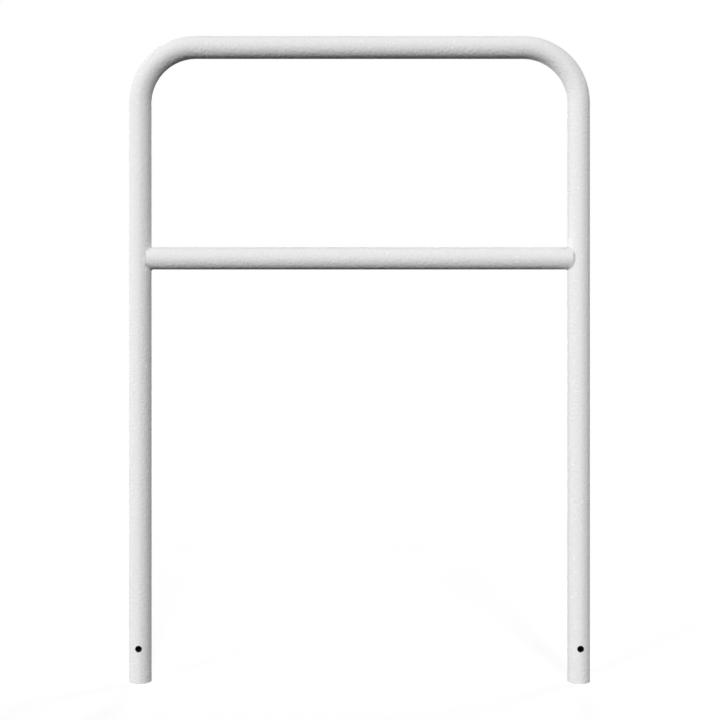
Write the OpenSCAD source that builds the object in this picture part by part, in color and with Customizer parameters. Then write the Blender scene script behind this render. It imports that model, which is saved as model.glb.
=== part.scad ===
// Hoop barrier with crossbar, for setting in the ground.
// One tube is bent into a hoop with open, square-cut lower ends. A crossbar of the same tube has
// coped ends that sit on the legs, and a fillet weld runs round each of them.
// The origin lies midway between the legs, in the plane of their lower ends. X runs along the width,
// the front faces -Y, and Z points up. All sizes are in millimetres.

/* [Hoop] */
// Width over the outside of the legs
overall_width = 1000; // [600:10:2000]
// Height of the hoop above the ground
height_above_ground = 1000; // [800:10:1300]
// Length of each leg that is set in the ground
depth_in_ground = 400; // [200:10:600]
// Outside diameter of the hoop's and the crossbar's tube
tube_d = 48; // [44:1:60]
// Wall thickness of the tube
tube_wall = 3; // [2.5:0.1:4]
// Radius of the corner bends, on the centreline of the tube
bend_radius = 120; // [90:5:200]

/* [Crossbar] */
// Height of the crossbar's axis above the ground
crossbar_height = 518; // [300:1:600]
// Distance from a leg's axis to the square-trimmed ears of the crossbar's coped end
ear_trim = 15; // [12:0.5:16]
// Diameter of the vent hole from each leg into the crossbar, which galvanising needs
vent_hole_d = 10; // [6:1:16]

/* [Anchor holes] */
// Diameter of the hole that takes an anchor rod across each leg
anchor_hole_d = 13.5; // [9:0.5:18]
// Height of the anchor hole's axis above the lower end of the leg
anchor_hole_height = 75; // [40:5:150]

/* [Welds] */
// Length of each side of the fillet weld
weld_leg = 2; // [1.5:0.1:3]
// How far the face of the weld swells, as a part of weld_leg
weld_crown = 0.2; // [0:0.05:0.4]
// Number of ripples round one weld
weld_ripples = 60; // [24:4:72]
// Depth of a ripple, as a part of weld_leg
ripple_depth = 0.05; // [0:0.01:0.1]

/* [Hidden] */
$fn = 96;

tube_r = tube_d / 2;
bore_r = tube_r - tube_wall;
leg_x = overall_width / 2 - tube_r;
top_z = depth_in_ground + height_above_ground - tube_r;
crossbar_z = depth_in_ground + crossbar_height;
crossbar_half = leg_x - ear_trim;

bend_x = leg_x - bend_radius;
bend_z = top_z - bend_radius;

coat_white = "#e9eaea";
weld_white = "#e2e3e3";

// The weld is swept round the crossbar in stations, three to a ripple
stations = 3 * weld_ripples;
// Points on the face of the weld between its two toes
crown_points = 3;
section_points = crown_points + 3;
// Hairline between the weld's flat facets and the round tubes, so that they never overlap
hairline = 0.07;

// Cross-section of the tube
module tube_section()
{
    difference() {
        circle(r = tube_r);
        circle(r = bore_r);
    }
}

// Straight length of tube that runs up from the origin
module straight_tube(length)
{
    linear_extrude(height = length)
        tube_section();
}

// Quarter bend from the top of the right leg to the end of the top rail
module corner_bend()
{
    translate([bend_x, 0, bend_z])
        rotate([90, 0, 0])
            rotate_extrude(angle = 90)
                translate([bend_radius, 0])
                    tube_section();
}

// Hole along Y through both walls of a leg
module anchor_hole()
{
    translate([leg_x, tube_d, anchor_hole_height])
        rotate([90, 0, 0])
            cylinder(h = 2 * tube_d, d = anchor_hole_d);
}

// Hole through the leg's inner wall, inside the end of the crossbar
module vent_hole()
{
    translate([leg_x - tube_d, 0, crossbar_z])
        rotate([0, 90, 0])
            cylinder(h = tube_d, d = vent_hole_d);
}

module both_sides()
{
    children();
    mirror([1, 0, 0])
        children();
}

module hoop_tube()
{
    color(coat_white)
        difference() {
            union() {
                both_sides() {
                    translate([leg_x, 0, 0])
                        straight_tube(bend_z);
                    corner_bend();
                }
                translate([-bend_x, 0, top_z])
                    rotate([0, 90, 0])
                        straight_tube(2 * bend_x);
            }
            both_sides() {
                anchor_hole();
                vent_hole();
            }
        }
}

module crossbar()
{
    color(coat_white)
        difference() {
            translate([-crossbar_half, 0, crossbar_z])
                rotate([0, 90, 0])
                    straight_tube(2 * crossbar_half);
            both_sides()
                translate([leg_x, 0, crossbar_z - tube_d])
                    cylinder(h = 2 * tube_d, r = tube_r);
        }
}

// The next functions work round the left joint, with the leg's axis at x = 0 and the crossbar
// towards +X. Angle a goes round the crossbar, from 0 at the front to 90 at the top.

// Distance of the joint's seam from the leg's axis, along the crossbar
function seam_x(a) = max(tube_r * abs(sin(a)), ear_trim);

// Distance of the seam from the plane of the hoop
function seam_depth(a) = sqrt(tube_r ^ 2 - seam_x(a) ^ 2);

function front_or_back(a) = cos(a) > 0 ? -1 : 1;

// The seam on the leg's surface rolled out flat, as arc length and height
function flat_seam(a) =
    [front_or_back(a) * atan2(seam_depth(a), seam_x(a)) * tube_r * PI / 180, tube_r * sin(a)];

// Direction on the rolled-out surface that leads away from the crossbar
function away_from_crossbar(a) =
    let(along = flat_seam(a + 1.5) - flat_seam(a - 1.5))
    [-along.y, along.x] / norm(along);

// Point on the leg from its place on the rolled-out surface
function on_leg(flat) =
    let(turn = flat.x / tube_r * 180 / PI)
    [(tube_r + hairline) * cos(turn), (tube_r + hairline) * sin(turn), flat.y];

// How far the crossbar's trimmed ear stands proud of the leg
function ear_height(a) = tube_r * abs(cos(a)) - seam_depth(a);

function weld_size(a) = weld_leg * (1 + ripple_depth * sin(a * weld_ripples));

function leg_toe(a) = on_leg(flat_seam(a) + weld_size(a) * away_from_crossbar(a));

// The toe on the crossbar goes up the ear's end face, and past its edge where the ear is low
function crossbar_toe(a) =
    let(past_edge = weld_size(a) - ear_height(a))
    past_edge > 0
        ? [
            seam_x(a) + past_edge,
            -(tube_r + hairline) * cos(a),
            (tube_r + hairline) * sin(a)
        ]
        : [
            seam_x(a) - hairline,
            front_or_back(a) * (seam_depth(a) + weld_size(a)),
            tube_r * sin(a)
        ];

function weld_root(a) =
    let(
        x = tube_r * abs(sin(a)) > ear_trim ? (tube_r + hairline) * abs(sin(a)) : ear_trim - hairline,
        z = (tube_r + hairline) * sin(a)
    )
    [x, front_or_back(a) * sqrt((tube_r + hairline) ^ 2 - x ^ 2), z];

// One cross-section of the weld: its root, then its face from toe to toe
function weld_section(a) =
    let(
        root = weld_root(a),
        foot = leg_toe(a),
        rim = crossbar_toe(a),
        outward = (foot + rim) / 2 - root,
        crown = weld_crown * weld_size(a) * outward / norm(outward)
    )
    concat(
        [root],
        [
            for (i = [0:crown_points + 1])
                let(t = i / (crown_points + 1))
                foot + (rim - foot) * t + crown * 4 * t * (1 - t)
        ]
    );

module weld()
{
    color(weld_white)
        translate([-leg_x, 0, crossbar_z])
            polyhedron(
                points = [
                    for (s = [0:stations - 1])
                        each weld_section((s + 0.5) * 360 / stations)
                ],
                faces = [
                    for (s = [0:stations - 1], i = [0:section_points - 1])
                        let(
                            this = s * section_points,
                            next = (s + 1) % stations * section_points,
                            j = (i + 1) % section_points
                        )
                        each [
                            [this + i, next + i, this + j],
                            [this + j, next + i, next + j]
                        ]
                ]
            );
}

module left_weld()
{
    weld();
}

module right_weld()
{
    mirror([1, 0, 0])
        weld();
}

hoop_tube();
crossbar();
left_weld();
right_weld();
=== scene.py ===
# The looks of a hoop barrier with crossbar: finishes, camera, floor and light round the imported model.
# Metres throughout, in the model's frame: X along the width, the front faces -Y, Z points up.
import math

import bpy
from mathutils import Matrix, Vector


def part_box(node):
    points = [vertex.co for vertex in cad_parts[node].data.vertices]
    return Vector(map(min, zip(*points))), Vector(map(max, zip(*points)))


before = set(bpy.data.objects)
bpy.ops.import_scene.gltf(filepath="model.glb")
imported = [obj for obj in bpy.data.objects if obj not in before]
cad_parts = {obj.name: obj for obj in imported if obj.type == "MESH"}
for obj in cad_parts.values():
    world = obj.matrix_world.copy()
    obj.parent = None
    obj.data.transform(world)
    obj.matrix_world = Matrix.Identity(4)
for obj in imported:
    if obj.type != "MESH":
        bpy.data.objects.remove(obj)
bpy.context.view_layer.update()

MM = 0.001

# The bent tube: its radius, the radius of its axis in the bends, and the centre of the right bend
hoop_low, hoop_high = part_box("hoop_tube")
TUBE_RADIUS = (hoop_high.y - hoop_low.y) / 2
BEND_RADIUS = 120 * MM
BEND_X = hoop_high.x - TUBE_RADIUS - BEND_RADIUS
BEND_Z = hoop_high.z - TUBE_RADIUS - BEND_RADIUS
# The anchor hole across each leg: its radius, its height above the leg's end, and its distance from the
# middle of the top rail along the tube's axis
HOLE_RADIUS = 6.75 * MM
HOLE_HEIGHT = 75 * MM
HOLE_ALONG = BEND_X + math.pi / 2 * BEND_RADIUS + BEND_Z - HOLE_HEIGHT
# Height of the crossbar's axis
bar_low, bar_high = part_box("crossbar")
BAR_Z = (bar_low.z + bar_high.z) / 2

# Colours as sRGB hex
WHITE = "#ffffff"
COAT_HIGH = "#eeeeee"
COAT_LOW = "#eaeaea"
COAT_FLECK = "#f8f8f8"
DULL_ZINC = "#2c2d2e"

# Polyester's usual IOR. A satin coat is usually about 0.4 rough, and this one shows less gloss than that
COAT_IOR = 1.5
COAT_ROUGHNESS = 0.75

# Orange peel is about 2 mm across on the real coat, and is drawn 3 mm across and deep so that it shows
PEEL_WIDTH = 3 * MM
PEEL_DEPTH = 0.95 * MM
# How many times longer the peel is round the tube than along it, as a ground tube leaves it
PEEL_STRETCH = 2
# Heights of the peel's noise at which the coat has its low and its high colour
PEEL_LOW = 0.3
PEEL_HIGH = 0.7
# Zinc that ran and froze under the coat leaves soft swells
SWELL_WIDTH = 20 * MM
SWELL_DEPTH = 0.05 * MM
# Pimples, which show as pale flecks: the distance between their centres through space, the radii of
# their flat top and their foot, and their height
FLECK_SPACING = 23 * MM
FLECK_TOP = 0.8 * MM
FLECK_FOOT = 4.2 * MM
FLECK_HEIGHT = 0.3 * MM

# How far the coat reaches into the anchor holes, and the width of its fading edge
COAT_REACH = 0.2 * MM
COAT_FADE = 0.3 * MM
# The coat draws back from the sharp edge of each anchor hole as it melts, and leaves a bare rim
BARE_RIM = 0.4 * MM

# Painted shade on the welds: at the foot of the weld, the coat's white is darkened by this grey, for the
# shade in the joint's corners. Between two heights further up, counted from the crossbar's axis, it turns
# to each
# tone: first a dark band, a painted shadow where the crossbar's square ear shades the leg, then at the top
# a tone near the coat's white, where light falls on the joint
WELD_BASE_PAINTED_SHADE = "#d6d6d6"
WELD_PAINTED_SHADE_BANDS = [
    (-11 * MM, -5 * MM, "#8e8e8e"),
    (8 * MM, 14 * MM, "#e6e6e6"),
]

# The camera is square to the front and level, at about half the hoop's height and just right of its middle
LENS_MM = 59.84
SENSOR_MM = 36
CAMERA_DISTANCE = 2.6
CAMERA_X = 1 * MM
CAMERA_Z = 697.4 * MM

# Studio lamps as soft distant lights: azimuth from the front towards +X and elevation in degrees, strength
LAMPS = {
    "front_left_key": (-35.5, 17.5, 1.07),
    "front_right_key": (7, 24, 1.39),
    "left_side": (-72, 3.5, 1.01),
    "left_rear": (-114.5, 3, 0.95),
    "right_side": (41.5, 16.5, 0.45),
    "right_rear": (132, 66, 0.59),
    "back": (174, 10, 2.0),
}
# How wide each lamp looks from the object, in degrees
LAMP_SPREAD = 10
# A distant light shines alike from anywhere, so this only keeps the lamps clear of the object
LAMP_DISTANCE = 4

FLOOR_SIZE = 60
# The floor scatters light up at the object as if it were this dark grey
FLOOR_GREY = "#262626"
# It is seen as a pale glow and a share of the lamps' light, which make white together. The share has the
# object's shadow in it
FLOOR_GLOW = 0.845
SHADOW_SHARE = 0.25


def linear(hex_colour):
    """An sRGB hex colour as linear RGBA."""
    channels = [int(hex_colour[i:i + 2], 16) / 255 for i in (1, 3, 5)]
    curve = [c / 12.92 if c <= 0.04045 else ((c + 0.055) / 1.055) ** 2.4 for c in channels]
    return (*curve, 1.0)


def add_node(tree, kind, settings=None, values=None, links=None):
    """Adds a node with its settings, its sockets' values and the links into it."""
    node = tree.nodes.new(kind)
    for name, value in (settings or {}).items():
        setattr(node, name, value)
    for socket, value in (values or {}).items():
        node.inputs[socket].default_value = value
    for socket, source in (links or {}).items():
        tree.links.new(source, node.inputs[socket])
    return node


def new_material(name):
    """A material with an empty node tree, and that tree."""
    material = bpy.data.materials.new(name)
    material.use_nodes = True
    material.node_tree.nodes.clear()
    return material, material.node_tree


def place_on_bar(tree, position):
    """The coat's own coordinates on the straight crossbar, whose axis runs along X already."""
    return position


def place_on_hoop(tree, position):
    """The coat's own coordinates on the bent tube: along its axis, across it along Y, and outward."""
    # Both halves are alike, so a point is measured from the centre of the right bend
    folded = add_node(tree, "ShaderNodeVectorMath", {"operation": "ABSOLUTE"}, links={0: position})
    from_bend = add_node(
        tree, "ShaderNodeVectorMath", {"operation": "SUBTRACT"}, {1: (BEND_X, 0, BEND_Z)},
        {0: folded.outputs["Vector"]},
    )
    in_bend = add_node(
        tree, "ShaderNodeVectorMath", {"operation": "MAXIMUM"}, {1: (0, 0, 0)},
        {0: from_bend.outputs["Vector"]},
    )
    in_straight = add_node(
        tree, "ShaderNodeVectorMath", {"operation": "MINIMUM"}, {1: (0, 0, 0)},
        {0: from_bend.outputs["Vector"]},
    )
    # The arm from the bend's centre gives how far outward of the axis the point lies
    arm = add_node(
        tree, "ShaderNodeVectorMath", {"operation": "MULTIPLY"}, {1: (1, 0, 1)},
        {0: in_bend.outputs["Vector"]},
    )
    reach = add_node(
        tree, "ShaderNodeVectorMath", {"operation": "LENGTH"}, links={0: arm.outputs["Vector"]},
    )
    outward = add_node(
        tree, "ShaderNodeMath", {"operation": "SUBTRACT"}, {1: BEND_RADIUS},
        {0: reach.outputs["Value"]},
    )
    # Length along the axis from the middle of the top rail: half the rail, the arc, then the leg
    arm_parts = add_node(tree, "ShaderNodeSeparateXYZ", links={"Vector": arm.outputs["Vector"]})
    turn = add_node(
        tree, "ShaderNodeMath", {"operation": "ARCTAN2"},
        links={0: arm_parts.outputs["X"], 1: arm_parts.outputs["Z"]},
    )
    arc = add_node(
        tree, "ShaderNodeMath", {"operation": "MULTIPLY_ADD"}, {1: BEND_RADIUS, 2: BEND_X},
        {0: turn.outputs["Value"]},
    )
    straight = add_node(
        tree, "ShaderNodeVectorMath", {"operation": "DOT_PRODUCT"}, {1: (1, 0, -1)},
        {0: in_straight.outputs["Vector"]},
    )
    length = add_node(
        tree, "ShaderNodeMath", {"operation": "ADD"},
        links={0: arc.outputs["Value"], 1: straight.outputs["Value"]},
    )
    # The left half counts the other way, so that the two halves' patterns differ
    parts = add_node(tree, "ShaderNodeSeparateXYZ", links={"Vector": position})
    side = add_node(tree, "ShaderNodeMath", {"operation": "SIGN"}, links={0: parts.outputs["X"]})
    along = add_node(
        tree, "ShaderNodeMath", {"operation": "MULTIPLY"},
        links={0: length.outputs["Value"], 1: side.outputs["Value"]},
    )
    return add_node(
        tree, "ShaderNodeCombineXYZ",
        links={"X": along.outputs["Value"], "Y": parts.outputs["Y"], "Z": outward.outputs["Value"]},
    ).outputs["Vector"]


def coat_pattern(tree, place):
    """Heights of the orange peel, of the swells under the coat and of the pimples on it."""
    drawn_out = add_node(
        tree, "ShaderNodeVectorMath", {"operation": "MULTIPLY"},
        {1: (1, 1 / PEEL_STRETCH, 1 / PEEL_STRETCH)},
        {0: place},
    )
    peel = add_node(
        tree, "ShaderNodeTexNoise", {"noise_dimensions": "3D"},
        {"Scale": 1 / PEEL_WIDTH, "Detail": 0.0},
        {"Vector": drawn_out.outputs["Vector"]},
    )
    swells = add_node(
        tree, "ShaderNodeTexNoise", {"noise_dimensions": "3D"},
        {"Scale": 1 / SWELL_WIDTH, "Detail": 1.0},
        {"Vector": place},
    )
    centres = add_node(
        tree, "ShaderNodeTexVoronoi", {"feature": "F1"},
        {"Scale": 1 / FLECK_SPACING, "Randomness": 1.0},
        {"Vector": place},
    )
    flecks = add_node(
        tree, "ShaderNodeMapRange", {"interpolation_type": "SMOOTHSTEP"},
        {"From Min": FLECK_FOOT / FLECK_SPACING, "From Max": FLECK_TOP / FLECK_SPACING},
        {"Value": centres.outputs["Distance"]},
    )
    return peel.outputs["Fac"], swells.outputs["Fac"], flecks.outputs["Result"]


def coat_relief(tree, peel, swells, flecks):
    """The coat's normal: each pattern's bump is laid over the one before."""
    relief = None
    for height, depth in ((peel, PEEL_DEPTH), (swells, SWELL_DEPTH), (flecks, FLECK_HEIGHT)):
        links = {"Height": height}
        if relief:
            links["Normal"] = relief.outputs["Normal"]
        relief = add_node(
            tree, "ShaderNodeBump", values={"Strength": 1.0, "Distance": depth}, links=links,
        )
    return relief.outputs["Normal"]


def coat_colour(tree, peel, flecks):
    """White that is a shade paler on the high spots, where the coat lies thick, and on the flecks."""
    tone = add_node(
        tree, "ShaderNodeMapRange", values={"From Min": PEEL_LOW, "From Max": PEEL_HIGH},
        links={"Value": peel},
    )
    white = add_node(
        tree, "ShaderNodeMix", {"data_type": "RGBA"},
        {"A": linear(COAT_LOW), "B": linear(COAT_HIGH)},
        {"Factor": tone.outputs["Result"]},
    )
    return add_node(
        tree, "ShaderNodeMix", {"data_type": "RGBA"},
        {"B": linear(COAT_FLECK)},
        {"Factor": flecks, "A": white.outputs["Result"]},
    ).outputs["Result"]


def bare_bore(tree, place, colour):
    """Dull zinc where the coat ends: inside the tube, and on a thin rim round the anchor holes."""
    # Inside the tube, and in its holes past the spray's reach
    across = add_node(
        tree, "ShaderNodeVectorMath", {"operation": "MULTIPLY"}, {1: (0, 1, 1)}, {0: place},
    )
    radius = add_node(
        tree, "ShaderNodeVectorMath", {"operation": "LENGTH"}, links={0: across.outputs["Vector"]},
    )
    bare_radius = TUBE_RADIUS - COAT_REACH
    bare = add_node(
        tree, "ShaderNodeMapRange",
        values={"From Min": bare_radius, "From Max": bare_radius - COAT_FADE},
        links={"Value": radius.outputs["Value"]},
    )
    # Distance from the axis of the anchor hole, which runs along Y
    folded = add_node(tree, "ShaderNodeVectorMath", {"operation": "ABSOLUTE"}, links={0: place})
    from_hole = add_node(
        tree, "ShaderNodeVectorMath", {"operation": "SUBTRACT"}, {1: (HOLE_ALONG, 0, 0)},
        {0: folded.outputs["Vector"]},
    )
    from_axis = add_node(
        tree, "ShaderNodeVectorMath", {"operation": "MULTIPLY"}, {1: (1, 0, 1)},
        {0: from_hole.outputs["Vector"]},
    )
    distance = add_node(
        tree, "ShaderNodeVectorMath", {"operation": "LENGTH"}, links={0: from_axis.outputs["Vector"]},
    )
    rim_radius = HOLE_RADIUS + BARE_RIM
    rim = add_node(
        tree, "ShaderNodeMapRange",
        values={"From Min": rim_radius + COAT_FADE, "From Max": rim_radius},
        links={"Value": distance.outputs["Value"]},
    )
    uncoated = add_node(
        tree, "ShaderNodeMath", {"operation": "MAXIMUM"},
        links={0: bare.outputs["Result"], 1: rim.outputs["Result"]},
    )
    return add_node(
        tree, "ShaderNodeMix", {"data_type": "RGBA"},
        {"B": linear(DULL_ZINC)},
        {"Factor": uncoated.outputs["Value"], "A": colour},
    ).outputs["Result"]


def paint_shade_on_weld(tree, place, colour):
    """Painted shade on the weld: darker than the coat, darkest in a band beside the crossbar's ear, where
    its shadow falls, and paler at the top, where light falls.
    """
    height = add_node(tree, "ShaderNodeSeparateXYZ", links={"Vector": place}).outputs["Z"]
    # The weld's colour with painted shade: the coat's white, darkened for the shade in the joint's corners
    thin = add_node(
        tree, "ShaderNodeMix", {"data_type": "RGBA", "blend_type": "MULTIPLY"},
        {"Factor": 1.0, "B": linear(WELD_BASE_PAINTED_SHADE)},
        {"A": colour},
    )
    # Bands by height: a painted shadow beside the ear, then a paler top where light falls
    for low, high, tone in WELD_PAINTED_SHADE_BANDS:
        passed = add_node(
            tree, "ShaderNodeMapRange", {"interpolation_type": "SMOOTHSTEP"},
            {"From Min": BAR_Z + low, "From Max": BAR_Z + high},
            {"Value": height},
        )
        thin = add_node(
            tree, "ShaderNodeMix", {"data_type": "RGBA"},
            {"B": linear(tone)},
            {"Factor": passed.outputs["Result"], "A": thin.outputs["Result"]},
        )
    return thin.outputs["Result"]


def white_powder_coat(name, place_on, change_colour=None):
    """Polyester powder, sprayed and baked on galvanised steel: satin white with a fine orange peel."""
    material, tree = new_material(name)
    place = place_on(tree, add_node(tree, "ShaderNodeTexCoord").outputs["Object"])
    peel, swells, flecks = coat_pattern(tree, place)
    colour = coat_colour(tree, peel, flecks)
    if change_colour:
        colour = change_colour(tree, place, colour)
    shader = add_node(
        tree, "ShaderNodeBsdfPrincipled",
        values={"Roughness": COAT_ROUGHNESS, "IOR": COAT_IOR},
        links={"Base Color": colour, "Normal": coat_relief(tree, peel, swells, flecks)},
    )
    add_node(tree, "ShaderNodeOutputMaterial", links={"Surface": shader.outputs["BSDF"]})
    return material


def finish_nodes():
    """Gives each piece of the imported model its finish."""
    bent = white_powder_coat("white_powder_coat_with_bare_bore", place_on_hoop, bare_bore)
    straight = white_powder_coat("white_powder_coat", place_on_bar)
    # The welds' coat carries painted shade: darker than the tubes, darkest beside the crossbar's ear,
    # where its shadow falls
    weld_coat_with_painted_shade = white_powder_coat("powder_coat_with_painted_shade_on_weld", place_on_bar, paint_shade_on_weld)
    finishes = {"hoop_tube": bent, "crossbar": straight, "left_weld": weld_coat_with_painted_shade, "right_weld": weld_coat_with_painted_shade}
    for name, finish in finishes.items():
        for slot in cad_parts[name].material_slots:
            slot.material = finish


def make_camera():
    data = bpy.data.cameras.new("camera")
    data.sensor_width = SENSOR_MM
    data.lens = LENS_MM
    camera = bpy.data.objects.new("camera", data)
    camera.location = (CAMERA_X, -CAMERA_DISTANCE, CAMERA_Z)
    camera.rotation_euler = (math.radians(90), 0, 0)
    bpy.context.scene.collection.objects.link(camera)
    bpy.context.scene.camera = camera


def make_lamps():
    for name, (azimuth, elevation, strength) in LAMPS.items():
        data = bpy.data.lights.new(name, "SUN")
        data.energy = strength
        data.angle = math.radians(LAMP_SPREAD)
        lamp = bpy.data.objects.new(name, data)
        turn = math.radians(azimuth)
        rise = math.radians(elevation)
        level = math.cos(rise)
        towards = Vector((math.sin(turn) * level, -math.cos(turn) * level, math.sin(rise)))
        lamp.rotation_euler = towards.to_track_quat("Z", "Y").to_euler()
        lamp.location = towards * LAMP_DISTANCE
        bpy.context.scene.collection.objects.link(lamp)


def seen_rays(tree):
    """1 for the camera's rays and for what gloss and glass show, 0 for the light that is scattered."""
    path = add_node(tree, "ShaderNodeLightPath")
    seen = path.outputs["Is Camera Ray"]
    for ray in ("Is Glossy Ray", "Is Transmission Ray"):
        seen = add_node(
            tree, "ShaderNodeMath", {"operation": "MAXIMUM"}, links={0: seen, 1: path.outputs[ray]},
        ).outputs["Value"]
    return seen


def make_world():
    """A studio that is seen as plain white. Only the lamps light the object."""
    world = bpy.data.worlds.new("white_studio")
    world.use_nodes = True
    tree = world.node_tree
    tree.nodes.clear()
    white = add_node(tree, "ShaderNodeBackground", values={"Color": linear(WHITE), "Strength": 1.0})
    unlit = add_node(tree, "ShaderNodeBackground", values={"Strength": 0.0})
    mix = add_node(
        tree, "ShaderNodeMixShader",
        links={"Fac": seen_rays(tree), 1: unlit.outputs["Background"], 2: white.outputs["Background"]},
    )
    add_node(tree, "ShaderNodeOutputWorld", links={"Surface": mix.outputs["Shader"]})
    bpy.context.scene.world = world


def make_floor():
    """A plain floor under the legs. It shows white with the object's shadow, and scatters little light."""
    material, tree = new_material("studio_floor")
    plain = add_node(tree, "ShaderNodeBsdfDiffuse", values={"Color": linear(FLOOR_GREY)})
    glow = add_node(
        tree, "ShaderNodeEmission", values={"Color": linear(WHITE), "Strength": FLOOR_GLOW},
    )
    shadowed = add_node(
        tree, "ShaderNodeBsdfDiffuse", values={"Color": (SHADOW_SHARE, SHADOW_SHARE, SHADOW_SHARE, 1)},
    )
    shown = add_node(
        tree, "ShaderNodeAddShader",
        links={0: glow.outputs["Emission"], 1: shadowed.outputs["BSDF"]},
    )
    surface = add_node(
        tree, "ShaderNodeMixShader",
        links={"Fac": seen_rays(tree), 1: plain.outputs["BSDF"], 2: shown.outputs["Shader"]},
    )
    add_node(tree, "ShaderNodeOutputMaterial", links={"Surface": surface.outputs["Shader"]})
    half = FLOOR_SIZE / 2
    corners = [(-half, -half, 0), (half, -half, 0), (half, half, 0), (-half, half, 0)]
    mesh = bpy.data.meshes.new("studio_floor")
    mesh.from_pydata(corners, [], [(0, 1, 2, 3)])
    mesh.materials.append(material)
    floor = bpy.data.objects.new("studio_floor", mesh)
    bpy.context.scene.collection.objects.link(floor)


finish_nodes()
make_camera()
make_lamps()
make_world()
make_floor()
bpy.context.scene.view_settings.view_transform = "Standard"
